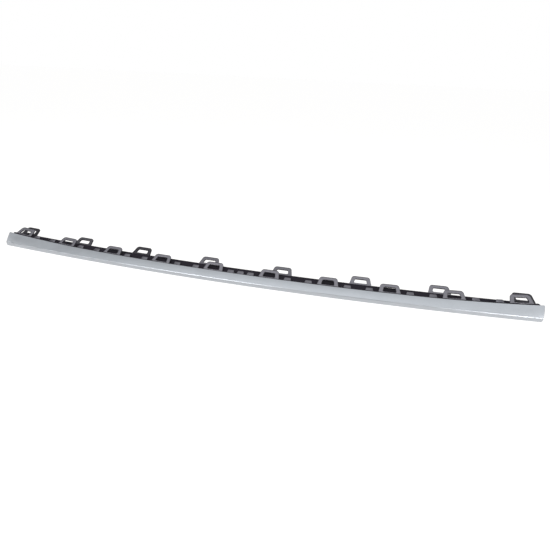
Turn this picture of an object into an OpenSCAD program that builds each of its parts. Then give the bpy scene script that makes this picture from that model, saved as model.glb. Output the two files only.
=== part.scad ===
// Bumper trim strip: a long bowed satin-silver face strip on a dark moulded carrier,
// which has a rail with two rows of trapezoid clip loops and a row of short tabs.
// +X runs along the strip, +Y points back towards the bumper, +Z is up.
// The origin is at the middle of the strip, under the carrier's back wall, on the floor.

/* [Overall] */
// Length of the face strip along its bottom edge
face_length = 994; // [984:1:1010]
// Radius of the strip's bow, seen from above
bow_radius = 4700; // [3000:50:9000]
// How much further the top edge of the face reaches at each end
end_lean = 6; // [0:0.5:9]
// How much further than the face's bottom edge the rail reaches at each end
rail_overhang = 9; // [8:0.5:10]

/* [Face strip] */
// Wall of the face strip
face_wall = 2.2; // [1.6:0.1:2.6]
// Height of the upright front lip
lip_height = 6.7; // [6:0.1:8]
// How far the lip leans back over its height
lip_lean = 0.6; // [0:0.1:1.2]
// Radius of the crease between lip and face
crease_radius = 1.8; // [1:0.1:2.5]
// Distance back from the lip to the top edge
face_depth = 17.7; // [16:0.1:20]
// Height of the top edge at the middle of the strip
face_height = 14.3; // [13.5:0.1:15]
// How much higher the top edge is at the ends
end_rise = 9.6; // [5:0.1:11]
// Radius that rounds the top edge
top_radius = 1.2; // [0.6:0.1:1.4]

/* [Carrier] */
// Gap between the face strip and the carrier
seat_gap = 0.3; // [0.2:0.05:0.5]
// Wall of the carrier
carrier_wall = 2.5; // [2:0.1:3]
// Height of the rail's top above the floor
rail_height = 12; // [11:0.1:12.4]
// Depth of the rail, from behind the face strip to its back edge
rail_depth = 25.7; // [24:0.1:30]
// Width of the raised bead along the rail
bead_width = 1.6; // [1:0.1:3]
// Height of the raised bead along the rail
bead_height = 0.8; // [0.4:0.1:1.5]
// Distance of the bead from the rail's back edge
bead_inset = 3.5; // [2.5:0.1:5]
// Room between the carrier's tongue and the inside of the face above it
tongue_room = 1.4; // [0.8:0.1:2]
// Gap between the carrier's tongue and the face strip's end walls
tongue_gap = 5.8; // [4:0.1:8]
// Bevel on the front corner of each end of the rail, along the strip
bevel_length = 7; // [4:0.5:8]
// Bevel on the front corner of each end of the rail, from front to back
bevel_depth = 12; // [8:0.5:16]

/* [Clip loops] */
// Angle of the loops above level
loop_tilt = 26.5; // [15:0.5:35]
// Length of a loop from its foot to its top
loop_reach = 17.5; // [15:0.1:20]
// Thickness of a loop's plate
loop_thickness = 2.5; // [2:0.1:3]
// Width of a loop's top bar
loop_bar = 6.2; // [4.8:0.1:6.8]
// Width of a loop's side bars
loop_side = 6.6; // [5:0.1:7.2]
// Radius of a loop's outer corners
loop_corner = 5.6; // [2:0.1:6.4]
// Radius of the corners of a loop's window
window_corner = 2; // [0.5:0.1:3]
// How far the front loops and tabs start below the face's top edge
front_drop = 1.1; // [0.8:0.1:1.6]
// Number of front loops
front_loops = 10; // [8:2:10]
// Width of a front loop at its foot
front_foot = 36.6; // [33:0.1:40]
// Width of a front loop at its top
front_top = 30; // [26:0.1:31]
// Height of the sill under a front loop's window
front_sill = 1; // [0.6:0.1:2]
// Distance from the rail's end to the middle of the outermost front loop
front_margin = 37.3; // [36:0.1:42]
// Width of a back loop at its foot
back_foot = 37.8; // [34:0.1:41]
// Width of a back loop at its top
back_top = 30.5; // [27:0.1:32]
// Height of the sill under a back loop's window
back_sill = 2.4; // [1.6:0.1:4]
// Distances of the back loops from the middle on each side, in steps of the front loops
back_places = [0.673, 2.029, 3.317, 4.615]; // [0.6:0.001:4.63]
// How much higher than the other back loops the outermost ones stand, on risers
end_lift = 1.4; // [0.4:0.1:3]

/* [Tabs] */
// Distance of a tab from midway between two front loops, in steps of the front loops
tab_place = 0.177; // [0.15:0.001:0.2]
// Width of a tab at its foot
tab_width = 13; // [10:0.5:14]
// Width of a tab at its top
tab_top = 10.5; // [7:0.5:12]
// Length of a tab along its tilt
tab_reach = 5; // [3:0.1:7]
// Thickness of a tab
tab_thickness = 2.4; // [1.6:0.1:3]
// Radius of a tab's outer corners
tab_corner = 1; // [0.4:0.1:2]
// Width of the pad beside each outermost front loop
end_pad = 12; // [8:0.5:13]
// Distance from the rail's end to the end pad
pad_margin = 12; // [11:0.5:15]

/* [Hidden] */

// Sweeps
bow_facets = 1440;
face_stations = 41;
nose_steps = 4;
crease_steps = 4;
top_steps = 3;
arc_facets = 48;
rise_power = 4;
window_steps = 4;

// Lengths along the strip, and the step from one front loop to the next
face_half = face_length / 2;
rail_half = face_half + rail_overhang;
tongue_length = face_length - 2 * (face_wall + tongue_gap);
loop_step = 2 * (rail_half - front_margin) / (front_loops - 1);

// Carrier section, front to back and bottom to top
rail_front = face_depth + seat_gap;
rail_back = rail_front + rail_depth;
rail_under = rail_height - carrier_wall;
shelf_front = face_depth - face_wall;
shelf_top = inside_top(shelf_front) - tongue_room;
tongue_front = face_wall + lip_lean + seat_gap;
tongue_top = inside_top(tongue_front) - tongue_room;
foot_sink = 1;
pad_sink = 1.7;
pad_inset = 0.2;
riser_inset = 0.15;

// Face section: the nose's radius, the rear wall's lower edge, and how thin its inner step may get
nose_radius = face_wall / 2;
rear_drop = shelf_top + seat_gap;
step_least = 0.05;
cap_inset = 0.2;

// The origin lies under the middle of the back wall's flat foot
origin_y = rail_back - carrier_wall / 2;

// Angle that a length along the strip takes up on the bow
function bow_angle(s) = s / bow_radius * 180 / PI;

// Height that the top edge gains at a distance s from the middle: flat at first, then a quick rise
function rise(s) = end_rise * pow(abs(s) / face_half, rise_power);

// Angle by which the top edge climbs away from the middle at s
function climb(s) =
    sign(s) * atan(rise_power * end_rise / face_half * pow(abs(s) / face_half, rise_power - 1));

// Slope of the face at s, from the crease to the top edge
function face_slope(s) = atan((face_height + rise(s) - lip_height) / (face_depth - lip_lean));

// Height of the inside of the face above a depth y, at the middle of the strip
function inside_top(y) = lip_height + (y - lip_lean) * tan(face_slope(0)) - face_wall / cos(face_slope(0));

// Point at s along the strip, y back and z up, leaning out with its height
function bow_point(s, y, z) =
    let (u = s * (1 + end_lean / face_half * z / (face_height + end_rise)), a = bow_angle(u))
    [(bow_radius - y) * sin(a), bow_radius - (bow_radius - y) * cos(a), z];

// Outer outline of the face at s, from the nose's underside up to the top edge
function nose_arc() = [for (i = [0:nose_steps]) let (a = -180 * i / nose_steps)
    [nose_radius + nose_radius * cos(a), nose_radius + nose_radius * sin(a)]];
function crease_arc(s) =
    let (slope = face_slope(s), lean = atan(lip_lean / lip_height), turn = 90 - slope - lean,
         setback = crease_radius * tan(turn / 2),
         start = [lip_lean - setback * sin(lean), lip_height - setback * cos(lean)],
         centre = start + crease_radius * [cos(lean), -sin(lean)])
    [for (i = [0:crease_steps]) let (a = 180 - lean - turn * i / crease_steps)
        centre + crease_radius * [cos(a), sin(a)]];
function top_arc(s) =
    let (slope = face_slope(s), top = face_height + rise(s),
         centre = [face_depth - top_radius, top - top_radius * (tan(slope) + 1 / cos(slope))])
    [for (i = [0:top_steps]) let (a = 90 + slope - (90 + slope) * i / top_steps)
        centre + top_radius * [cos(a), sin(a)]];
function outer_line(s) = concat(nose_arc(), crease_arc(s), top_arc(s));

// Inner outline of the face at s, from the rear edge down to the lip
function inner_line(s) =
    let (slope = face_slope(s), y = face_depth - face_wall,
         drop = face_wall / cos(slope), lip = lip_height - face_wall)
    [[face_depth, rear_drop], [y, rear_drop],
     [y, max(rear_drop + step_least, lip_height + (y - lip_lean) * tan(slope) - drop)],
     [face_wall + lip_lean, max(lip, lip_height + face_wall * tan(slope) - drop)]];

function shell_section(s) = concat(outer_line(s), inner_line(s));

// Closed outline of an end wall, a little inside the shell's own outline
function cap_section(s) =
    let (slope = face_slope(s), y = face_depth - face_wall / 2, top = face_height + rise(s))
    [[nose_radius, nose_radius], [nose_radius + lip_lean / 2, lip_height - face_wall / 2],
     [y, top - face_wall / 2 / cos(slope) - cap_inset], [y, rear_drop + cap_inset]];

// Skin over a list of rings that all have the same number of points
module skin(rings) {
    n = len(rings[0]);
    last = len(rings) - 1;
    sides = [for (i = [0:last - 1], j = [0:n - 1])
        let (k = (j + 1) % n) each [[i * n + j, i * n + k, (i + 1) * n + k],
                                    [i * n + j, (i + 1) * n + k, (i + 1) * n + j]]];
    caps = [[for (j = [n - 1:-1:0]) j], [for (j = [0:n - 1]) last * n + j]];
    polyhedron([for (ring = rings) each ring], concat(caps, sides), convexity = 8);
}

module end_wall(side) {
    places = [side * (face_half - cap_inset), side * (face_half - face_wall)];
    ordered = side > 0 ? [places[1], places[0]] : places;
    skin([for (s = ordered) [for (p = cap_section(s)) bow_point(s, p[0], p[1])]]);
}

module face_strip() {
    step = face_length / (face_stations - 1);
    color("silver") translate([0, -origin_y, 0]) {
        skin([for (i = [0:face_stations - 1]) let (s = -face_half + i * step)
            [for (p = shell_section(s)) bow_point(s, p[0], p[1])]]);
        end_wall(-1);
        end_wall(1);
    }
}

// Turns a child that stands at y = 0, facing back, to its place on the bow
module on_bow(s) {
    translate([0, bow_radius, 0]) rotate([0, 0, bow_angle(s)]) translate([0, -bow_radius, 0]) children();
}

// Sweeps a section of y back and z up along the bow, over a length of the strip
module bow_sweep(length) {
    turn = bow_angle(length);
    translate([0, bow_radius, 0]) rotate([0, 0, -90 - turn / 2])
        rotate_extrude(angle = turn, $fn = bow_facets)
            translate([bow_radius, 0]) mirror([1, 0]) children();
}

// Channel section of the rail, open below, with the bead on its top
module rail_section() {
    polygon([[rail_front, shelf_top - carrier_wall], [rail_front, rail_height], [rail_back, rail_height],
             [rail_back, 0], [rail_back - carrier_wall, 0], [rail_back - carrier_wall, rail_under],
             [rail_front + carrier_wall, rail_under]]);
    translate([rail_back - bead_inset - bead_width, rail_height - bead_height])
        square([bead_width, 2 * bead_height]);
}

// Section of the tongue, which reaches from the rail's front wall forward under the face strip
module tongue_section() {
    root = rail_front + carrier_wall / 2;
    polygon([[tongue_front, tongue_top], [shelf_front, shelf_top], [root, shelf_top],
             [rail_front, shelf_top - carrier_wall], [shelf_front, shelf_top - carrier_wall],
             [tongue_front, tongue_top - carrier_wall]]);
}

// Wedge that bevels the rail's front corner at one end
module end_bevel(side) {
    over = 2 * bevel_length;
    on_bow(side * rail_half) translate([0, rail_front, -over]) mirror([side > 0 ? 1 : 0, 0, 0])
        linear_extrude(2 * (rail_height + over))
            polygon([[bevel_length, 0], [bevel_length, -over], [-over, -over], [-over, bevel_depth],
                     [0, bevel_depth]]);
}

// Trapezoid with rounded top corners, from a little below its foot at y = 0 up to y = reach
module trapezoid(foot, top, reach, corner) {
    lean = atan((foot - top) / 2 / reach);
    setback = corner / tan(45 + lean / 2);
    leg = [top / 2 + setback * sin(lean), reach - setback * cos(lean)];
    flat = top / 2 - setback;
    polygon([[-foot / 2, -foot_sink], [foot / 2, -foot_sink], [foot / 2, 0], leg, [flat, reach],
             [-flat, reach], [-leg[0], leg[1]], [-foot / 2, 0]]);
    for (side = [-1, 1]) translate([side * flat, reach - corner]) circle(r = corner, $fn = arc_facets);
}

// Closed outline, run anticlockwise, whose corners are arcs that touch both of their sides
function toward(a, b) = (b - a) / norm(b - a);
function turned(v, a) = [v[0] * cos(a) - v[1] * sin(a), v[0] * sin(a) + v[1] * cos(a)];
function rounded(corners, radius) =
    let (n = len(corners))
    [for (i = [0:n - 1])
        let (p = corners[i], a = toward(p, corners[(i + n - 1) % n]), b = toward(p, corners[(i + 1) % n]),
             half = acos(a * b) / 2, centre = p + (a + b) / norm(a + b) * radius / sin(half),
             start = p + a * radius / tan(half) - centre)
        for (k = [0:window_steps]) centre + turned(start, (180 - 2 * half) * k / window_steps)];

// Flat outline of one clip loop, with its window
module loop_outline(foot, top, sill) {
    slant = (foot - top) / 2 / loop_reach;
    window_top = loop_reach - loop_bar;
    side_bar = loop_side * sqrt(1 + slant * slant);
    low = foot / 2 - side_bar - slant * sill;
    high = foot / 2 - side_bar - slant * window_top;
    window = [[-low, sill], [low, sill], [high, window_top], [-high, window_top]];
    difference() {
        trapezoid(foot, top, loop_reach, loop_corner);
        polygon(rounded(window, window_corner));
    }
}

// Plate whose middle plane rises from the origin at the loops' tilt
module tilted_plate(thickness) {
    rotate([loop_tilt, 0, 0]) linear_extrude(thickness, center = true) children();
}

// Depth of a pad: what the root of a tilted plate takes up from front to back
function pad_depth(thickness) = 2 * (thickness / 2 * sin(loop_tilt) + foot_sink * cos(loop_tilt));

// Moves a child to the face's top edge at s, a little behind the rail's front,
// turned to climb with that edge
module at_top_edge(s) {
    on_bow(s) translate([0, rail_front + pad_inset, face_height - front_drop + rise(s)])
        rotate([0, -climb(s), 0]) children();
}

// Block that stands in the rail's front wall and ends at the top edge
module pad(s, width, depth) {
    height = face_height - front_drop + rise(s) - rail_height + pad_sink;
    at_top_edge(s) translate([-width / 2, 0, -height]) cube([width, depth, height]);
}

// Pad with a plate that rises from it behind the face's top edge
module front_plate(s, width, thickness) {
    depth = pad_depth(thickness);
    pad(s, width, depth);
    at_top_edge(s) translate([0, depth / 2, 0]) tilted_plate(thickness) children();
}

module front_loop(s) {
    front_plate(s, front_foot, loop_thickness) loop_outline(front_foot, front_top, front_sill);
}

module back_loop(s, lift) {
    drop = loop_thickness / 2 * cos(loop_tilt) - foot_sink * sin(loop_tilt);
    on_bow(s) translate([0, rail_back, rail_height - drop + lift])
        tilted_plate(loop_thickness) loop_outline(back_foot, back_top, back_sill);
    if (lift > 0) on_bow(s)
        translate([riser_inset - back_foot / 2, rail_back - carrier_wall, rail_height - foot_sink])
            cube([back_foot - 2 * riser_inset, carrier_wall - riser_inset, foot_sink + lift]);
}

module tab(s) {
    front_plate(s, tab_width, tab_thickness) trapezoid(tab_width, tab_top, tab_reach, tab_corner);
}

module clip_carrier() {
    middles = [for (i = [0:front_loops - 2]) (i - (front_loops - 2) / 2) * loop_step];
    color("dimgray") translate([0, -origin_y, 0]) {
        difference() {
            bow_sweep(2 * rail_half) rail_section();
            for (side = [-1, 1]) end_bevel(side);
        }
        bow_sweep(tongue_length) tongue_section();
        for (i = [0:front_loops - 1]) front_loop((i - (front_loops - 1) / 2) * loop_step);
        for (place = back_places, side = [-1, 1])
            back_loop(side * place * loop_step, place == max(back_places) ? end_lift : 0);
        for (middle = middles, side = [-1, 1]) tab(middle + side * tab_place * loop_step);
        tab(0);
        for (side = [-1, 1])
            pad(side * (rail_half - pad_margin - end_pad / 2), end_pad, pad_depth(loop_thickness));
    }
}

face_strip();
clip_carrier();
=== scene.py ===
# Bumper trim strip: a bowed satin-silver face over a black carrier with clip loops and tabs.
# Everything is in metres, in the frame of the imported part: +X along the strip, +Y back, +Z up.
import math

import bmesh
import bpy
import numpy as np
from mathutils import Matrix, Vector


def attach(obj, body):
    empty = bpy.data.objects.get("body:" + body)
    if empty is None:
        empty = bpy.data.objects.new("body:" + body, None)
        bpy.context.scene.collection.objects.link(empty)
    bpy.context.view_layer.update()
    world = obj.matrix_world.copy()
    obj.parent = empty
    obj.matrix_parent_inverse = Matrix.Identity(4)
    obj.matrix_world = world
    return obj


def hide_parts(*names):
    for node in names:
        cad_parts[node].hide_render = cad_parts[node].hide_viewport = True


mm = 0.001
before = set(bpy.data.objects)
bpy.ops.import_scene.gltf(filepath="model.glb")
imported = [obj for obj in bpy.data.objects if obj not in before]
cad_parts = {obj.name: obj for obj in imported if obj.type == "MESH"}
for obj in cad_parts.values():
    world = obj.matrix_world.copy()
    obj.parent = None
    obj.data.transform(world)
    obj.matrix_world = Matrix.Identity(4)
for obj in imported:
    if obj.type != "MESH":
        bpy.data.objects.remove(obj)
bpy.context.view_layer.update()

bow = {
    "radius": 4700 * mm,       # of the lip's front, seen from above
    "originBack": 42.45 * mm,  # from the lip's front to the frame's origin
}


# Arc length along the strip, distance back from the lip, height: turned about the bow's centre.
def placeOnBow(along, back, up):
    along, back, up = np.broadcast_arrays(along, back, up)
    angle = along / bow["radius"]
    reach = bow["radius"] - back
    return np.stack([reach * np.sin(angle),
                     bow["radius"] - reach * np.cos(angle) - bow["originBack"], up], axis=-1)


# Rigid points (along, back, up), turned as one about the bow's centre to a place along the strip.
def standOnBow(along, points):
    angle = along / bow["radius"]
    out = bow["radius"] - points[..., 1]
    x = points[..., 0] * math.cos(angle) + out * math.sin(angle)
    y = bow["radius"] + points[..., 0] * math.sin(angle) - out * math.cos(angle)
    return np.stack([x, y - bow["originBack"], points[..., 2]], axis=-1)


# Quads between neighbouring rows and columns of a grid of points, as point numbers.
def gridQuads(rows, columns, closedRows=False, closedColumns=False, first=0):
    i = np.arange(rows if closedRows else rows - 1)[:, None]
    j = np.arange(columns if closedColumns else columns - 1)[None, :]
    up, right = (i + 1) % rows, (j + 1) % columns
    corners = [i * columns + j, i * columns + right, up * columns + right, up * columns + j]
    return np.stack([np.broadcast_to(c, (i.size, j.size)).ravel() for c in corners], axis=1) + first


# Faces of a tube: quads between its closed rows, and its first and last row filled as caps.
def tubeFaces(rows, columns):
    last = (rows - 1) * columns
    caps = [list(range(columns))[::-1], list(range(last, last + columns))]
    return gridQuads(rows, columns, closedColumns=True).tolist() + caps


# A mesh object from points and faces: doubles merged, normals turned outwards, sharp edges kept.
def makePiece(name, points, faces, sharpFrom=40, mergeWithin=0.002 * mm):
    mesh = bpy.data.meshes.new(name)
    mesh.from_pydata(np.reshape(points, (-1, 3)).tolist(), [], faces)
    shape = bmesh.new()
    shape.from_mesh(mesh)
    bmesh.ops.remove_doubles(shape, verts=shape.verts, dist=mergeWithin)
    bmesh.ops.recalc_face_normals(shape, faces=shape.faces)
    shape.to_mesh(mesh)
    shape.free()
    mesh.shade_smooth()
    mesh.set_sharp_from_angle(angle=math.radians(sharpFrom))
    piece = bpy.data.objects.new(name, mesh)
    bpy.context.scene.collection.objects.link(piece)
    return piece


# Points and faces of several parts as one list each, with the point numbers moved on.
def joinParts(parts):
    points, faces, count = [], [], 0
    for partPoints, partFaces in parts:
        partPoints = np.reshape(partPoints, (-1, 3))
        points.append(partPoints)
        faces += [[number + count for number in face] for face in partFaces]
        count += len(partPoints)
    return np.concatenate(points), faces


# Points on a circle about a centre, evenly from one angle in degrees to another.
def arc(centre, radius, start, end, steps):
    angle = np.radians(np.linspace(start, end, steps))
    return np.stack([centre[0] + radius * np.cos(angle), centre[1] + radius * np.sin(angle)], axis=-1)


# Distance along a line at each of its points: the sum of the steps before it.
def lengthAlong(line):
    return np.concatenate([[0], np.cumsum(np.linalg.norm(np.diff(line, axis=0), axis=1))])


# The same line with its points spaced evenly along it.
def resample(line, count):
    length = lengthAlong(line)
    even = np.linspace(0, length[-1], count)
    return np.stack([np.interp(even, length, line[:, k]) for k in (0, 1)], axis=-1)


# Face strip
face = {
    "halfLength": 497 * mm,
    "endLean": 6 * mm,         # each end's top reaches this much further than its bottom
    "wall": 2.2 * mm,
    "lipHeight": 6.7 * mm,
    "lipLean": 0.6 * mm,
    "creaseRadius": 1.8 * mm,
    "depth": 17.7 * mm,
    "height": 14.3 * mm,       # at the middle
    "endRise": 9.6 * mm,       # added at the ends
    "risePower": 4,
    "crown": 0.45 * mm,        # the face bulges this much between crease and top edge
    "topRadius": 1.2 * mm,
    "tongueRoom": 1.4 * mm,    # between the inside of the face and the carrier's tongue
    "seatGap": 0.3 * mm,       # between the face strip and the carrier
    "cornerRadius": 2.4 * mm,  # of the lip's lower corners
    "edge": 0.7 * mm,          # rounding of the end walls' edges
    "innerEdge": 0.05 * mm,    # the same inside, and the least height of the rear wall's inside
    "noseGap": 10,             # degrees on each side of the nose's lowest point that a chord closes
    "sharpFrom": 35,           # edges that turn by more degrees than this stay sharp
    "stations": 240,           # along the strip
    "wallShares": [0, 0.3, 0.6, 0.85],    # rows of an end wall, from its chord to its rim
    "edgeRows": 4,             # rows of an end wall's rounded rim
    "noseSteps": 7,            # points of each arc or line of the outline
    "innerNoseSteps": 5,
    "lipSteps": 5,
    "creaseSteps": 11,
    "faceSteps": 13,
    "topSteps": 10,
    "rearSteps": 4,
}


# Angle of the sloping face, between the lip's top and a top edge at some height.
def faceSlope(top):
    return math.atan2(top - face["lipHeight"], face["depth"] - face["lipLean"])


# Height of the face's inside at some depth: up the slope from the lip's top, less the wall.
def insideHeight(slope, back):
    rise = (back - face["lipLean"]) * math.tan(slope)
    return face["lipHeight"] + rise - face["wall"] / math.cos(slope)


# Top of the carrier's tongue: the inside of the face at the middle, less the room below it.
def tongueTop(back):
    return insideHeight(faceSlope(face["height"]), back) - face["tongueRoom"]


# The rear wall's lower edge stands clear of the tongue.
face["rearDrop"] = tongueTop(face["depth"] - face["wall"]) + face["seatGap"]


# Height that the top edge gains: the end's rise times a power of the share of the half length.
def topRise(along):
    return face["endRise"] * (abs(along) / face["halfLength"]) ** face["risePower"]


# Angle by which the top edge climbs: the slope of the rise.
def topClimb(along):
    power, half = face["risePower"], face["halfLength"]
    slope = power * face["endRise"] * (abs(along) / half) ** (power - 1) / half
    return math.copysign(math.atan(slope), along)


# Outline across the face: half the nose, upright lip, crease arc, crowned face, top arc, rear wall.
# The crease arc touches the lip and the slope, the top arc the slope and the rear wall. The crown
# is half a sine wave.
def outerLine(along):
    nose, bend, radius = face["wall"] / 2, face["creaseRadius"], face["topRadius"]
    top = face["height"] + topRise(along)
    lean = math.atan2(face["lipLean"], face["lipHeight"])
    slope = faceSlope(top)
    setback = bend * math.tan((math.pi / 2 - slope - lean) / 2)
    creaseCentre = (face["lipLean"] - setback * math.sin(lean) + bend * math.cos(lean),
                    face["lipHeight"] - setback * math.cos(lean) - bend * math.sin(lean))
    topCentre = (face["depth"] - radius, top - radius * (math.tan(slope) + 1 / math.cos(slope)))
    faceTurn = 90 + math.degrees(slope)
    noseArc = arc((nose, nose), nose, -90 - face["noseGap"], -180, face["noseSteps"])
    creaseArc = arc(creaseCentre, bend, 180 - math.degrees(lean), faceTurn, face["creaseSteps"])
    topArc = arc(topCentre, radius, faceTurn, 0, face["topSteps"])
    lip = np.linspace(noseArc[-1], creaseArc[0], face["lipSteps"])[1:-1]
    flat = np.linspace(creaseArc[-1], topArc[0], face["faceSteps"])[1:-1]
    bulge = np.sin(np.linspace(0, math.pi, face["faceSteps"])[1:-1])[:, None] * face["crown"]
    flat = flat + bulge * np.array([-math.sin(slope), math.cos(slope)])
    rear = np.linspace(topArc[-1], [face["depth"], face["rearDrop"]], face["rearSteps"])[1:]
    return np.concatenate([noseArc, lip, creaseArc, flat, topArc, rear])


# Inside of the shell: the other half of the nose, up the lip, along the face, down the rear wall.
def innerLine(along, count):
    nose = face["wall"] / 2
    slope = faceSlope(face["height"] + topRise(along))
    front, back = face["wall"] + face["lipLean"], face["depth"] - face["wall"]
    rearTop = max(insideHeight(slope, back), face["rearDrop"] + face["innerEdge"])
    noseArc = arc((nose, nose), nose, -90 + face["noseGap"], 0, face["innerNoseSteps"])
    corners = [[front, insideHeight(slope, front)], [back, rearTop], [back, face["rearDrop"]]]
    return resample(np.concatenate([noseArc, corners]), count)


# How far the end stands from its plain length at each point of a line: it leans out in step with
# the height, and its low corner is drawn in by a quarter circle.
def endCut(line):
    up = line[:, 1]
    radius = face["cornerRadius"]
    low = np.clip(radius - up, 0, radius)
    return (face["endLean"] * up / (face["height"] + face["endRise"])
            - (radius - np.sqrt(radius ** 2 - low ** 2)))


# Rows of one side of the shell: an end wall from its chord out, the long sweep, the other end wall.
# The sweep is the line carried along the bow, at stations spaced as the sine of even steps, so they
# are close at the ends. An end wall goes by shares from the line's chord to its rim, a quarter arc.
def sheetRows(lineAt, half, edge):
    steps = np.sin(np.linspace(0, math.pi / 2, face["stations"] // 2 + 1))
    line = lineAt(half)
    length = lengthAlong(line)[:, None]
    chord = line[0] + (line[-1] - line[0]) * (length / length[-1])
    tangent = np.gradient(line, axis=0)
    inward = np.stack([tangent[:, 1], -tangent[:, 0]], axis=-1)
    inward /= np.linalg.norm(inward, axis=1)[:, None]
    inward[[0, -1]] = 0
    rim = line + inward * edge
    wallRows = [(half, chord + (rim - chord) * t) for t in face["wallShares"]]
    for turn in np.linspace(0, math.pi / 2, face["edgeRows"] + 1)[:-1]:
        inset = edge * (1 - math.sin(turn))
        wallRows.append((half - edge * (1 - math.cos(turn)), line + inward * inset))

    def endRows(side):
        return [placeOnBow(side * (s + endCut(p)), p[:, 0], p[:, 1]) for s, p in wallRows]

    rows = endRows(-1)
    for along in half * np.concatenate([-steps[::-1], steps[1:]]):
        p = lineAt(along)
        s = along * (1 - edge / half)
        rows.append(placeOnBow(s + endCut(p) * along / half, p[:, 0], p[:, 1]))
    return np.array(rows + endRows(1)[::-1])


# The shell: an outer and an inner sheet of equal rows and columns, joined all round their borders.
def buildFaceStrip():
    outer = sheetRows(outerLine, face["halfLength"], face["edge"])
    rows, count = outer.shape[:2]
    inner = sheetRows(lambda along: innerLine(along, count), face["halfLength"] - face["wall"],
                      face["innerEdge"])
    faces = gridQuads(rows, count).tolist()
    faces += [quad[::-1] for quad in gridQuads(rows, count, first=rows * count).tolist()]
    ring = [(i, 0) for i in range(rows)] + [(rows - 1, j) for j in range(1, count)]
    ring += [(i, count - 1) for i in range(rows - 2, -1, -1)]
    ring += [(0, j) for j in range(count - 2, 0, -1)]
    numbers = [i * count + j for i, j in ring]
    for a, b in zip(numbers, numbers[1:] + numbers[:1]):
        faces.append([a, b, b + rows * count, a + rows * count])
    return makePiece("silver_face", np.concatenate([outer, inner]), faces, face["sharpFrom"])


# Carrier's rail
rail = {
    "halfLength": 506 * mm,
    "front": face["depth"] + face["seatGap"],
    "back": 43.7 * mm,
    "height": 12 * mm,
    "wall": 2.5 * mm,
    "shelfFront": face["depth"] - face["wall"],
    "tongueFront": face["wall"] + face["lipLean"] + face["seatGap"],
    "tongueCut": 17 * mm,      # the tongue ends this much before the rail
    "bevelLength": 7 * mm,     # of the rail's front end corners
    "bevelDepth": 12 * mm,
    "beadWidth": 1.6 * mm,
    "beadHeight": 0.8 * mm,
    "beadInset": 3.5 * mm,
    "fillet": 0.5 * mm,
    "endRound": 3 * mm,        # of the rail's back corners, seen from above
    "stations": 160,
}


# Arc inside a corner. It touches both sides at an equal setback, which has a largest value.
def roundCorner(point, toBefore, toAfter, radius, steps, largest=math.inf):
    toBefore, toAfter = (np.array(v, float) / np.linalg.norm(v) for v in (toBefore, toAfter))
    half = math.acos(np.clip(toBefore @ toAfter, -1, 1)) / 2
    setback = min(radius / math.tan(half), largest)
    bisector = (toBefore + toAfter) / np.linalg.norm(toBefore + toAfter)
    centre = np.array(point) + bisector * setback / math.cos(half)
    start = np.array(point) + toBefore * setback - centre
    end = np.array(point) + toAfter * setback - centre
    angle = np.linspace(0, math.atan2(start[0] * end[1] - start[1] * end[0], start @ end), steps)
    return np.stack([centre[0] + start[0] * np.cos(angle) - start[1] * np.sin(angle),
                     centre[1] + start[0] * np.sin(angle) + start[1] * np.cos(angle)], axis=-1)


# A closed outline with each corner rounded, where the arc takes at most a share of either side.
def filletOutline(corners, radius, steps=5, sideShare=0.45):
    corners = np.array(corners, float)
    arcs = []
    for a, p, b in zip(np.roll(corners, 1, axis=0), corners, np.roll(corners, -1, axis=0)):
        largest = sideShare * min(np.linalg.norm(a - p), np.linalg.norm(b - p))
        arcs.append(roundCorner(p, a - p, b - p, radius, steps, largest))
    return np.concatenate(arcs)


# The rail: one closed outline carried along the bow. Each of its points ends where the bevel, the
# tongue's cut and the round back corner let it, and stations between are even shares of that.
def buildRail():
    r = rail
    under = r["height"] - r["wall"]
    beadBack, beadFront = r["back"] - r["beadInset"], r["back"] - r["beadInset"] - r["beadWidth"]
    beadTop = r["height"] + r["beadHeight"]
    shelfTop, noseTop = tongueTop(r["shelfFront"]), tongueTop(r["tongueFront"])
    outline = filletOutline([
        [r["tongueFront"], noseTop], [r["shelfFront"], shelfTop], [r["front"], shelfTop],
        [r["front"], r["height"]], [beadFront, r["height"]], [beadFront, beadTop], [beadBack, beadTop],
        [beadBack, r["height"]], [r["back"], r["height"]], [r["back"], 0], [r["back"] - r["wall"], 0],
        [r["back"] - r["wall"], under], [r["front"] + r["wall"], under],
        [r["front"], shelfTop - r["wall"]], [r["shelfFront"], shelfTop - r["wall"]],
        [r["tongueFront"], noseTop - r["wall"]]], r["fillet"])
    deep = np.clip(outline[:, 0] - (r["back"] - r["endRound"]), 0, r["endRound"])
    cut = r["endRound"] - np.sqrt(r["endRound"] ** 2 - deep ** 2)
    cut += np.interp(outline[:, 0], [r["shelfFront"], r["front"], r["front"] + r["bevelDepth"]],
                     [r["tongueCut"], r["bevelLength"], 0])
    share = np.linspace(-1, 1, r["stations"])[:, None]
    points = placeOnBow(share * (r["halfLength"] - cut), outline[:, 0], outline[:, 1])
    return makePiece("carrier_rail", points, tubeFaces(r["stations"], len(outline)))


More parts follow.
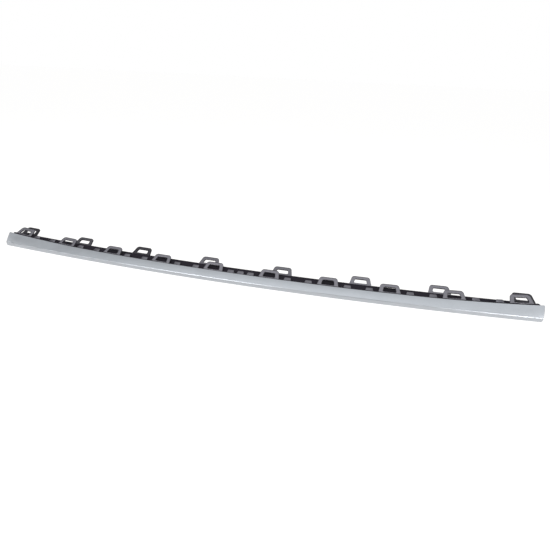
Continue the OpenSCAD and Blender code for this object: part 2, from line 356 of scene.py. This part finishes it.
# Clip loops and tabs
loop = {
    "tilt": math.radians(26.5),
    "reach": 17.5 * mm,
    "thickness": 2.5 * mm,
    "bar": 6.2 * mm,           # width of the top bar
    "side": 6.6 * mm,          # width of the side bars
    "sink": 1 * mm,            # the foot goes this far into what carries it
    "padSink": 1.7 * mm,
    "inset": 0.2 * mm,         # of the pads, from the rail's front
    "drop": 1.1 * mm,          # the front plates start this far below the face's top edge
    "corner": 5.6 * mm,
    "windowCorner": 2 * mm,
    "footCorner": 0.3 * mm,    # of the feet, inside what carries them
    "edge": 0.5 * mm,          # rounding of the rims
    "rimSteps": 6,
    "legSteps": 4,             # points of the outline's legs, top and foot
    "topSteps": 6,
    "footSteps": 7,
    "padEdge": 0.35 * mm,
    "front": {"foot": 36.6 * mm, "top": 30 * mm, "sill": 1 * mm},
    "back": {"foot": 37.8 * mm, "top": 30.5 * mm, "sill": 2.4 * mm},
    "frontCount": 10,
    "endMargin": 37.3 * mm,    # from the rail's end to the middle of the outermost front loop
    "endLift": 1.4 * mm,       # the outermost back loops stand this much higher, on risers
    "riserInset": 0.15 * mm,
    "rimSteepness": 0.6,       # a face is rim where the cosine of its angle to the plate is less
    "filletForward": 4 * mm,   # of the back loops' feet, along the rail's top and up the plate
    "filletUp": 3 * mm,
    "filletDepth": 0.3 * mm,   # the fillet goes this far into what it joins
    "filletSteps": 9,
    "backPlaces": [0.673, 2.029, 3.317, 4.615],    # in steps of the front loops
    "placeReach": 0.5,         # a loop's faces lie within this many steps of its place
    "endPad": {"width": 12 * mm, "middle": 488 * mm},
}
tab = {
    "place": 0.177,            # from midway between two front loops, in their steps
    "foot": 13 * mm,
    "top": 10.5 * mm,
    "reach": 5 * mm,
    "thickness": 2.4 * mm,
    "corner": 1 * mm,
    "edge": 0.35 * mm,
}


# Closed outline from the left foot over the top to the right foot: straight sides between corner arcs.
def trapezoidPath(footHalf, footLow, topHalf, topHigh, radius, lowRadius, steps=7):
    leg = np.array([footHalf - topHalf, footLow - topHigh])
    lowLeft = roundCorner((-footHalf, footLow), (1, 0), (leg[0], -leg[1]), lowRadius, steps)
    left = roundCorner((-topHalf, topHigh), (-leg[0], leg[1]), (1, 0), radius, steps)
    right = roundCorner((topHalf, topHigh), (-1, 0), leg, radius, steps)
    lowRight = roundCorner((footHalf, footLow), -leg, (-1, 0), lowRadius, steps)
    legUp = np.linspace(lowLeft[-1], left[0], loop["legSteps"])[1:-1]
    top = np.linspace(left[-1], right[0], loop["topSteps"])[1:-1]
    legDown = np.linspace(right[-1], lowRight[0], loop["legSteps"])[1:-1]
    foot = np.linspace(lowRight[-1], lowLeft[0], loop["footSteps"])[1:-1]
    return np.concatenate([lowLeft, legUp, left, top, right, legDown, lowRight, foot])


# A rim's quarter arc: how far it lies inside the outline, and its height, from face to side.
def rimArc(edge, half, steps):
    turn = np.linspace(0, math.pi / 2, steps)
    return edge * (1 - np.sin(turn)), half - edge * (1 - np.cos(turn))


# How far a loop's leg leans for each length that it reaches.
def legSlant(shape):
    return (shape["foot"] - shape["top"]) / 2 / loop["reach"]


# A bar of rounded-box section carried round the trapezoid, between its outer and inner outlines.
def loopPlate(shape):
    slant = legSlant(shape)
    sideBar = loop["side"] * math.sqrt(1 + slant ** 2)
    windowTop = loop["reach"] - loop["bar"]
    low = shape["foot"] / 2 - sideBar - slant * shape["sill"]
    high = shape["foot"] / 2 - sideBar - slant * windowTop
    footHalf = shape["foot"] / 2 + slant * loop["sink"]
    outer = trapezoidPath(footHalf, -loop["sink"], shape["top"] / 2, loop["reach"],
                          loop["corner"], loop["footCorner"])
    inner = trapezoidPath(low, shape["sill"], high, windowTop,
                          loop["windowCorner"], loop["windowCorner"])
    across = inner - outer
    width = np.linalg.norm(across, axis=1)[:, None]
    across = across / width
    inset, height = rimArc(loop["edge"], loop["thickness"] / 2, loop["rimSteps"])
    outside, inside = np.zeros_like(inset), np.ones_like(inset)    # shares of the bar's width
    section = np.concatenate([
        np.stack([inset, outside, height], 1), np.stack([-inset, inside, height], 1)[::-1],
        np.stack([-inset, inside, -height], 1), np.stack([inset, outside, -height], 1)[::-1]])
    along = section[None, :, 0, None] + section[None, :, 1, None] * width[:, None]
    flat = outer[:, None] + across[:, None] * along
    normal = np.broadcast_to(section[None, :, 2], flat.shape[:2])
    return np.dstack([flat, normal]), gridQuads(len(outer), len(section), True, True).tolist()


# A plate with rounded rims: its outline drawn in by the rim's arc as it nears either face.
def bevelledPlate(outline, thickness, edge, rimSteps=4):
    tangent = np.roll(outline, -1, axis=0) - np.roll(outline, 1, axis=0)
    inward = np.stack([-tangent[:, 1], tangent[:, 0]], axis=-1)
    inward /= np.linalg.norm(inward, axis=1)[:, None]
    if ((outline.mean(axis=0) - outline) * inward).sum() < 0:
        inward = -inward
    inset, height = rimArc(edge, thickness / 2, rimSteps)
    levels = zip(np.concatenate([inset, inset[::-1]]), np.concatenate([-height, height[::-1]]))
    rows = [np.column_stack([outline + inward * i, np.full(len(outline), h)]) for i, h in levels]
    return np.array(rows), tubeFaces(len(rows), len(outline))


# Plate coordinates (across, along the tilt, normal) turned up by the loops' tilt about the foot.
def tilted(points):
    c, s = math.cos(loop["tilt"]), math.sin(loop["tilt"])
    return np.stack([points[..., 0], points[..., 1] * c - points[..., 2] * s,
                     points[..., 1] * s + points[..., 2] * c], axis=-1)


# Points (along, back, up) about a foot on the rail's front edge, turned to climb with the face's edge.
def climbed(along, points):
    c, s = math.cos(topClimb(along)), math.sin(topClimb(along))
    turned = np.stack([points[..., 0] * c - points[..., 2] * s,
                       points[..., 1] + rail["front"] + loop["inset"],
                       points[..., 0] * s + points[..., 2] * c + footHeight(along)], axis=-1)
    return standOnBow(along, turned)


# Height of a front plate's foot: a fixed drop below the face's top edge.
def footHeight(along):
    return face["height"] - loop["drop"] + topRise(along)


# How far back from its front a tilted plate's root lies: half its thickness and the sunk length.
def rootDepth(thickness):
    return thickness / 2 * math.sin(loop["tilt"]) + loop["sink"] * math.cos(loop["tilt"])


# A plate, tilted and moved back by its root's depth, at its place along the strip.
def frontPlate(along, plate, thickness):
    points, faces = plate
    return climbed(along, tilted(points) + np.array([0, rootDepth(thickness), 0])), faces


# The block that lifts a front plate from the rail to the height of the face's top edge.
def padBlock(along, width, thickness):
    root = rootDepth(thickness)
    low = rail["height"] - footHeight(along) - loop["padSink"]
    corners = [[-width / 2, low], [width / 2, low], [width / 2, 0], [-width / 2, 0]]
    points, faces = bevelledPlate(filletOutline(corners, loop["padEdge"]), 2 * root, loop["padEdge"])
    block = np.stack([points[..., 0], root + points[..., 2], points[..., 1]], axis=-1)
    return climbed(along, block), faces


loopStep = 2 * (rail["halfLength"] - loop["endMargin"]) / (loop["frontCount"] - 1)


# Places one step apart, with the middle of the strip as their middle.
def stepPlaces(count):
    return [(i - (count - 1) / 2) * loopStep for i in range(count)]


# One tab in the middle, and one on each side of every point midway between two front loops.
def tabPlaces():
    middles = stepPlaces(loop["frontCount"] - 1)
    return [0.0] + [middle + side * tab["place"] * loopStep for middle in middles for side in (-1, 1)]


# One plate, repeated at even steps.
def buildFrontLoops():
    plate = loopPlate(loop["front"])
    parts = [frontPlate(along, plate, loop["thickness"]) for along in stepPlaces(loop["frontCount"])]
    return makePiece("front_loops", *joinParts(parts))


# One tilted plate and its foot's fillet, repeated on both sides at the places of the back loops.
def buildBackLoops():
    points, faces = loopPlate(loop["back"])
    drop = loop["thickness"] / 2 * math.cos(loop["tilt"]) - loop["sink"] * math.sin(loop["tilt"])
    foot = tilted(points) + np.array([0, rail["back"], rail["height"] - drop])
    parts = []
    for place in loop["backPlaces"]:
        lift = loop["endLift"] if place == max(loop["backPlaces"]) else 0
        for along in (-place * loopStep, place * loopStep):
            parts.append((standOnBow(along, foot + np.array([0, 0, lift])), faces))
            parts.append(footFillet(along, lift))
    return makePiece("back_loops", *joinParts(parts))


# One small solid plate, repeated at the places of the tabs.
def buildTabs():
    outline = trapezoidPath(tab["foot"] / 2, -loop["sink"], tab["top"] / 2, tab["reach"],
                            tab["corner"], loop["footCorner"])
    plate = bevelledPlate(outline, tab["thickness"], tab["edge"])
    parts = [frontPlate(along, plate, tab["thickness"]) for along in tabPlaces()]
    return makePiece("carrier_tabs", *joinParts(parts))


# The block in the rail's back wall that lifts an outermost back loop.
def riserBlock(along):
    half, low = loop["back"]["foot"] / 2 - loop["riserInset"], -loop["sink"]
    depth = rail["wall"] - loop["riserInset"]
    corners = [[-half, low], [half, low], [half, loop["endLift"]], [-half, loop["endLift"]]]
    points, faces = bevelledPlate(filletOutline(corners, loop["padEdge"]), depth, loop["padEdge"])
    block = np.stack([points[..., 0], rail["back"] - rail["wall"] + depth / 2 + points[..., 2],
                      rail["height"] + points[..., 1]], axis=-1)
    return standOnBow(along, block), faces


# Concave fillet at a back loop's foot: a curve of the second degree, which touches what the loop
# stands on and the plate, carried straight from one leg to the other.
def footFillet(along, lift):
    bend = np.array([rail["back"] - loop["thickness"] / 2 * math.sin(loop["tilt"])
                     - loop["sink"] * math.cos(loop["tilt"]), rail["height"] + lift])
    start = bend - [loop["filletForward"] if lift == 0 else rail["wall"] - loop["riserInset"], 0]
    rise = np.array([math.cos(loop["tilt"]), math.sin(loop["tilt"])])
    end = bend + loop["filletUp"] * rise
    t = np.linspace(0, 1, loop["filletSteps"])[:, None]
    curve = start * (1 - t) ** 2 + bend * 2 * t * (1 - t) + end * t ** 2
    depth = loop["filletDepth"]
    under = [end - depth * np.array([-rise[1], rise[0]]), bend - [0, depth], start - [0, depth]]
    section = np.concatenate([curve, under])
    half = loop["back"]["foot"] / 2 - loop["edge"] / 2 - legSlant(loop["back"]) * loop["filletUp"]
    points = np.array([np.column_stack([np.full(len(section), x), section]) for x in (-half, half)])
    return standOnBow(along, points), tubeFaces(2, len(section))


# The blocks under the front loops and tabs, the end pads, and the risers of the outermost back loops.
def buildPads():
    foot, end = loop["front"]["foot"], loop["endPad"]
    parts = [padBlock(along, foot, loop["thickness"]) for along in stepPlaces(loop["frontCount"])]
    parts += [padBlock(along, tab["foot"], tab["thickness"]) for along in tabPlaces()]
    parts += [padBlock(side * end["middle"], end["width"], loop["thickness"]) for side in (-1, 1)]
    parts += [riserBlock(side * max(loop["backPlaces"]) * loopStep) for side in (-1, 1)]
    return makePiece("carrier_pads", *joinParts(parts))


# Gives the rims of a piece's plates its second material, a darker copy as painted shade, and the
# faces of the loops at some places the next ones, lighter or darker copies as painted light and shade.
def splitFinishes(piece, paintedLightPlaces):
    mesh = piece.data
    normals, centres = np.empty(len(mesh.polygons) * 3), np.empty(len(mesh.polygons) * 3)
    mesh.polygons.foreach_get("normal", normals)
    mesh.polygons.foreach_get("center", centres)
    plate = np.array([0, -math.sin(loop["tilt"]), math.cos(loop["tilt"])])
    # Rims, the faces at a large angle to the plate, get the darker copy of the plastic: painted shade.
    rimShadeMask = np.abs(normals.reshape(-1, 3) @ plate) < loop["rimSteepness"]
    chosen = np.where(rimShadeMask, 1, 0)
    across = centres.reshape(-1, 3)[:, 0] / loopStep
    for number, places in enumerate(paintedLightPlaces, start=2):
        distance = np.abs(across[:, None] - np.array(places)).min(axis=1)
        chosen = np.where((distance < loop["placeReach"]) & ~rimShadeMask, number, chosen)
    mesh.polygons.foreach_set("material_index", chosen)


# A node group with named outputs and inputs, each with a value of its own to start with.
def nodeGroup(name, inputs, outputs):
    group = bpy.data.node_groups.new(name, "ShaderNodeTree")
    for label, value in inputs.items():
        kind = "NodeSocketColor" if isinstance(value, tuple) else "NodeSocketFloat"
        group.interface.new_socket(label, in_out="INPUT", socket_type=kind).default_value = value
    for label, kind in outputs.items():
        group.interface.new_socket(label, in_out="OUTPUT", socket_type=kind)
    return group, group.nodes.new("NodeGroupInput"), group.nodes.new("NodeGroupOutput")


# A node with its settings and the values of its inputs.
def addNode(tree, kind, values=None, **settings):
    node = tree.nodes.new(kind)
    for key, value in settings.items():
        setattr(node, key, value)
    for key, value in (values or {}).items():
        node.inputs[key].default_value = value
    return node


# A Math node's result for sockets or plain numbers.
def combine(tree, operation, *given):
    node = addNode(tree, "ShaderNodeMath", operation=operation)
    for socket, value in zip(node.inputs, given):
        if isinstance(value, bpy.types.NodeSocket):
            tree.links.new(value, socket)
        else:
            socket.default_value = value
    return node.outputs[0]


# A value carried evenly from one range to another, and held at its ends.
def mapRange(tree, value, low, high, fromLow, fromHigh):
    node = addNode(tree, "ShaderNodeMapRange", {"From Min": fromLow, "From Max": fromHigh,
                                                "To Min": low, "To Max": high})
    tree.links.new(value, node.inputs["Value"])
    return node.outputs["Result"]


# Colour and roughness that wander a little at two sizes, and the height of a fine grain.
def grainGroup():
    group, given, out = nodeGroup(
        "surfaceGrain",
        {"Color": (0.5, 0.5, 0.5, 1.0), "Color Spread": 0.1, "Roughness": 0.4,
         "Roughness Spread": 0.05, "Fine Scale": 3000.0, "Broad Scale": 60.0},
        {"Color": "NodeSocketColor", "Roughness": "NodeSocketFloat", "Height": "NodeSocketFloat"})
    coords = addNode(group, "ShaderNodeTexCoord").outputs["Object"]
    fine = addNode(group, "ShaderNodeTexNoise", {"Detail": 3.0, "Roughness": 0.7})
    broad = addNode(group, "ShaderNodeTexNoise", {"Detail": 2.0})
    for noise, scale in ((fine, "Fine Scale"), (broad, "Broad Scale")):
        group.links.new(coords, noise.inputs["Vector"])
        group.links.new(given.outputs[scale], noise.inputs["Scale"])
    both = combine(group, "ADD", fine.outputs["Fac"], broad.outputs["Fac"])
    centred = combine(group, "SUBTRACT", both, 1.0)
    amount = combine(group, "MULTIPLY", centred, given.outputs["Color Spread"])
    color = addNode(group, "ShaderNodeVectorMath", operation="SCALE")
    group.links.new(given.outputs["Color"], color.inputs[0])
    group.links.new(combine(group, "ADD", amount, 1.0), color.inputs["Scale"])
    group.links.new(color.outputs[0], out.inputs["Color"])
    spread, roughness = given.outputs["Roughness Spread"], given.outputs["Roughness"]
    rough = combine(group, "MULTIPLY_ADD", centred, spread, roughness)
    group.links.new(rough, out.inputs["Roughness"])
    group.links.new(fine.outputs["Fac"], out.inputs["Height"])
    return group


surfaceGrain = grainGroup()


# An empty material with its shader and output.
def newMaterial(name):
    material = bpy.data.materials.new(name)
    material.use_nodes = True
    tree = material.node_tree
    tree.nodes.clear()
    shader = tree.nodes.new("ShaderNodeBsdfPrincipled")
    output = tree.nodes.new("ShaderNodeOutputMaterial")
    tree.links.new(shader.outputs[0], output.inputs["Surface"])
    return material, tree, shader


# A finish from its dictionary: grain on colour and roughness, and a bump from the same grain.
def grainedMaterial(name, finish):
    material, tree, shader = newMaterial(name)
    grain = addNode(tree, "ShaderNodeGroup", node_tree=surfaceGrain)
    for label, key in (("Color", "color"), ("Color Spread", "colorSpread"),
                       ("Roughness", "roughness"), ("Roughness Spread", "roughnessSpread"),
                       ("Fine Scale", "fineScale"), ("Broad Scale", "broadScale")):
        value = finish[key]
        grain.inputs[label].default_value = (*value, 1.0) if isinstance(value, tuple) else value
    tree.links.new(grain.outputs["Color"], shader.inputs["Base Color"])
    tree.links.new(grain.outputs["Roughness"], shader.inputs["Roughness"])
    bump = addNode(tree, "ShaderNodeBump",
                   {"Strength": finish["bump"], "Distance": finish["bumpDepth"]})
    tree.links.new(grain.outputs["Height"], bump.inputs["Height"])
    tree.links.new(bump.outputs["Normal"], shader.inputs["Normal"])
    for label, key in (("Metallic", "metallic"), ("Specular IOR Level", "specular"), ("IOR", "ior"),
                       ("Coat Weight", "coat"), ("Coat Roughness", "coatRoughness")):
        shader.inputs[label].default_value = finish[key]
    shader.inputs["Specular Tint"].default_value = (*finish["tint"], 1.0)
    return material


# Finishes
silverFinish = {
    "color": (0.60, 0.628, 0.665), "colorSpread": 0.16,
    "roughness": 0.36, "roughnessSpread": 0.1,
    "fineScale": 1400.0, "broadScale": 45.0,      # of the grain
    "bump": 0.12, "bumpDepth": 0.05 * mm,         # strength and height of its relief
    "metallic": 0.92, "specular": 0.5, "ior": 1.5, "tint": (1.0, 1.0, 1.0),
    "coat": 0.4, "coatRoughness": 0.14,           # clear lacquer
}
railFinish = {
    "color": (0.016, 0.013, 0.020), "colorSpread": 0.4,
    "roughness": 0.5, "roughnessSpread": 0.1,
    "fineScale": 2600.0, "broadScale": 70.0,
    "bump": 0.3, "bumpDepth": 0.05 * mm,
    "metallic": 0.0, "specular": 0.22, "ior": 1.5, "tint": (0.94, 0.92, 1.0),
    "coat": 0.0, "coatRoughness": 0.3,
}
# Loop and tab faces: copies of the rail's plastic with more sheen, as painted light; rims: painted
# shade.
frontLoopPaintedSheen = dict(railFinish, color=(0.034, 0.032, 0.040), roughness=0.40,
                       specular=1.0, ior=2.2)
backLoopPaintedSheen = dict(frontLoopPaintedSheen, ior=1.9)
dimLoopPaintedShade = dict(frontLoopPaintedSheen, color=(0.022, 0.020, 0.026), ior=1.65)
darkLoopPaintedShade = dict(frontLoopPaintedSheen, color=(0.014, 0.012, 0.017), ior=1.42)
tabPaintedSheen = dict(frontLoopPaintedSheen, ior=1.95)
rimPaintedShadeFinish = dict(railFinish, color=(0.010, 0.009, 0.012), specular=0.16)

print("building the face strip")
silverFace = buildFaceStrip()
silverFace.data.materials.append(grainedMaterial("satinSilverPaint", silverFinish))
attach(silverFace, "root")
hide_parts("face_strip")

print("building the carrier")
railMaterial = grainedMaterial("blackMouldedRail", railFinish)
rimPaintedShadeMaterial = grainedMaterial("blackRimPaintedShade", rimPaintedShadeFinish)
frontPaintedSheenMaterial = grainedMaterial("greyFrontLoopsPaintedSheen", frontLoopPaintedSheen)
backPaintedLightMaterials = [grainedMaterial("greyBackLoopsPaintedSheen", backLoopPaintedSheen), rimPaintedShadeMaterial,
                 grainedMaterial("darkBackLoopsPaintedShade", darkLoopPaintedShade),
                 grainedMaterial("dimBackLoopsPaintedShade", dimLoopPaintedShade), frontPaintedSheenMaterial]
middle, far, outermost = loop["backPlaces"][1:]
# Back loops at these places get darker, dimmer or lighter copies of one plastic: painted shade and
# painted light.
paintedLightPlaces = [[-outermost, outermost, -middle], [-far], [middle, far]]    # dark, dim, bright
carrierPieces = (
    (buildRail(), [railMaterial], []),
    (buildPads(), [railMaterial], []),
    (buildFrontLoops(), [frontPaintedSheenMaterial, rimPaintedShadeMaterial], []),
    (buildBackLoops(), backPaintedLightMaterials, paintedLightPlaces),
    (buildTabs(), [grainedMaterial("greyTabsPaintedSheen", tabPaintedSheen), rimPaintedShadeMaterial], []),
)
for piece, materials, places in carrierPieces:
    for material in materials:
        piece.data.materials.append(material)
    if len(materials) > 1:
        splitFinishes(piece, places)
    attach(piece, "root")
    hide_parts("clip_carrier")

# Floor, world, lamps and camera
studio = {
    "floorHalf": 30.0,
    "floorColor": (0.38, 0.37, 0.36, 1.0),
    "floorRoughness": 0.9,
    "floorWhite": 0.82,        # white that the floor adds for the camera
    "floorMirrored": 0.57,     # and for metal and glass
    "low": 0.04,               # level of the soft light up to lowAt
    "lowAt": 0.35,             # height of the light's direction, of which 1 is straight up
    "high": 0.66,              # level at highAt
    "highAt": 0.75,
    "ceiling": 0.91,           # level straight above
    "forward": (1.20, 0.80),   # times the level, from the front to the back of the room
    "forwardAt": (-0.4, 0.4),
    "frontward": (0.08, 1.0),  # times the level, at the far front and from there on
    "frontwardAt": (-0.75, -0.50),
    "leftward": (0.50, 1.14),  # times the level, from the far left inwards
    "leftwardAt": (-0.78, -0.42),
    "rightward": (1.0, 0.73),  # times the level, from the middle to the right
    "rightwardAt": (0.10, 0.42),
    "tint": (0.97, 0.985, 1.0, 1.0),
    "whiteUpTo": (0.0, 0.10),  # heights between which the backdrop's white fades for metal and glass
}
lamps = [     # places and sizes in metres, power in watts
    {"name": "frontRightSoftbox", "place": (0.95, -0.80, 0.48), "size": (0.45, 0.35), "power": 4.9},
    {"name": "frontLeftSoftbox", "place": (-0.62, -1.10, 1.00), "size": (0.7, 0.4), "power": 9.6},
    {"name": "farLeftSoftbox", "place": (-1.50, -0.85, 0.75), "size": (0.5, 0.3), "power": 2.2},
]
view = {      # fitted to the edges, loops and tabs in the photo
    "place": (224.2 * mm, -723.9 * mm, 342.0 * mm),
    "right": (0.96942, 0.24174, 0.04216),
    "up": (-0.13621, 0.38720, 0.91188),
    "back": (0.20412, -0.88974, 0.40829),
    "lens": 29.66,
    "sensor": 36.0,
    "clipStart": 0.02,
}


# Two masks of the rays that see the white backdrop: the camera's own, and those off metal or
# through glass.
def backdropRays(tree):
    path = addNode(tree, "ShaderNodeLightPath").outputs
    mirror = combine(tree, "MAXIMUM", path["Is Glossy Ray"], path["Is Transmission Ray"])
    return path["Is Camera Ray"], mirror


# A dark matt floor that keeps the shadow, with plain white added for the rays that see the backdrop.
def buildFloor():
    half = studio["floorHalf"]
    corners = [(-half, -half, 0), (half, -half, 0), (half, half, 0), (-half, half, 0)]
    mesh = bpy.data.meshes.new("studio_floor")
    mesh.from_pydata(corners, [], [(0, 1, 2, 3)])
    floor = bpy.data.objects.new("studio_floor", mesh)
    bpy.context.scene.collection.objects.link(floor)
    material, tree, shader = newMaterial("paleFloor")
    shader.inputs["Base Color"].default_value = studio["floorColor"]
    shader.inputs["Roughness"].default_value = studio["floorRoughness"]
    shader.inputs["Specular IOR Level"].default_value = 0.0
    shader.inputs["Emission Color"].default_value = (1, 1, 1, 1)
    camera, mirror = backdropRays(tree)
    plain = combine(tree, "MULTIPLY", camera, studio["floorWhite"])
    mirrored = combine(tree, "MULTIPLY", mirror, studio["floorMirrored"])
    tree.links.new(combine(tree, "MAXIMUM", plain, mirrored), shader.inputs["Emission Strength"])
    mesh.materials.append(material)


# Soft light whose level grows with the height of its direction, times a factor for each side of
# the room. The camera sees plain white instead, and so do metal and glass near the horizon.
def buildWorld():
    world = bpy.data.worlds.new("studioWorld")
    bpy.context.scene.world = world
    world.use_nodes = True
    tree = world.node_tree
    tree.nodes.clear()
    split = addNode(tree, "ShaderNodeSeparateXYZ")
    tree.links.new(addNode(tree, "ShaderNodeTexCoord").outputs["Generated"], split.inputs[0])
    height = split.outputs["Z"]
    rising = mapRange(tree, height, studio["low"], studio["high"], studio["lowAt"], studio["highAt"])
    top = mapRange(tree, height, 0.0, studio["ceiling"] - studio["high"], studio["highAt"], 1.0)
    level = combine(tree, "ADD", rising, top)
    for axis, side in (("Y", "forward"), ("Y", "frontward"), ("X", "leftward"), ("X", "rightward")):
        share = mapRange(tree, split.outputs[axis], *studio[side], *studio[side + "At"])
        level = combine(tree, "MULTIPLY", level, share)
    soft = addNode(tree, "ShaderNodeBackground", {"Color": studio["tint"]})
    tree.links.new(level, soft.inputs["Strength"])
    white = addNode(tree, "ShaderNodeBackground", {"Color": (1, 1, 1, 1), "Strength": 1.0})
    camera, mirror = backdropRays(tree)
    fading = mapRange(tree, height, 1.0, 0.0, *studio["whiteUpTo"])
    mirrored = combine(tree, "MULTIPLY", mirror, fading)
    mix = addNode(tree, "ShaderNodeMixShader")
    tree.links.new(combine(tree, "MAXIMUM", camera, mirrored), mix.inputs["Fac"])
    tree.links.new(soft.outputs[0], mix.inputs[1])
    tree.links.new(white.outputs[0], mix.inputs[2])
    output = addNode(tree, "ShaderNodeOutputWorld")
    tree.links.new(mix.outputs[0], output.inputs["Surface"])


# Rectangular soft lamps, turned to face the object.
def buildLamps():
    for lamp in lamps:
        data = bpy.data.lights.new(lamp["name"], "AREA")
        data.shape = "RECTANGLE"
        data.size, data.size_y = lamp["size"]
        data.energy = lamp["power"]
        item = bpy.data.objects.new(lamp["name"], data)
        item.location = lamp["place"]
        item.rotation_euler = (-Vector(lamp["place"])).to_track_quat("-Z", "Y").to_euler()
        bpy.context.scene.collection.objects.link(item)


# The camera: its axes and its place are the columns of its matrix.
def buildCamera():
    data = bpy.data.cameras.new("photoCamera")
    data.lens = view["lens"]
    data.sensor_width = view["sensor"]
    data.clip_start = view["clipStart"]
    camera = bpy.data.objects.new("photoCamera", data)
    rows = zip(view["right"], view["up"], view["back"], view["place"])
    camera.matrix_world = Matrix([*rows, (0, 0, 0, 1)])
    bpy.context.scene.collection.objects.link(camera)
    bpy.context.scene.camera = camera


print("building the studio")
buildFloor()
buildWorld()
buildLamps()
buildCamera()
bpy.context.scene.view_settings.view_transform = "Standard"
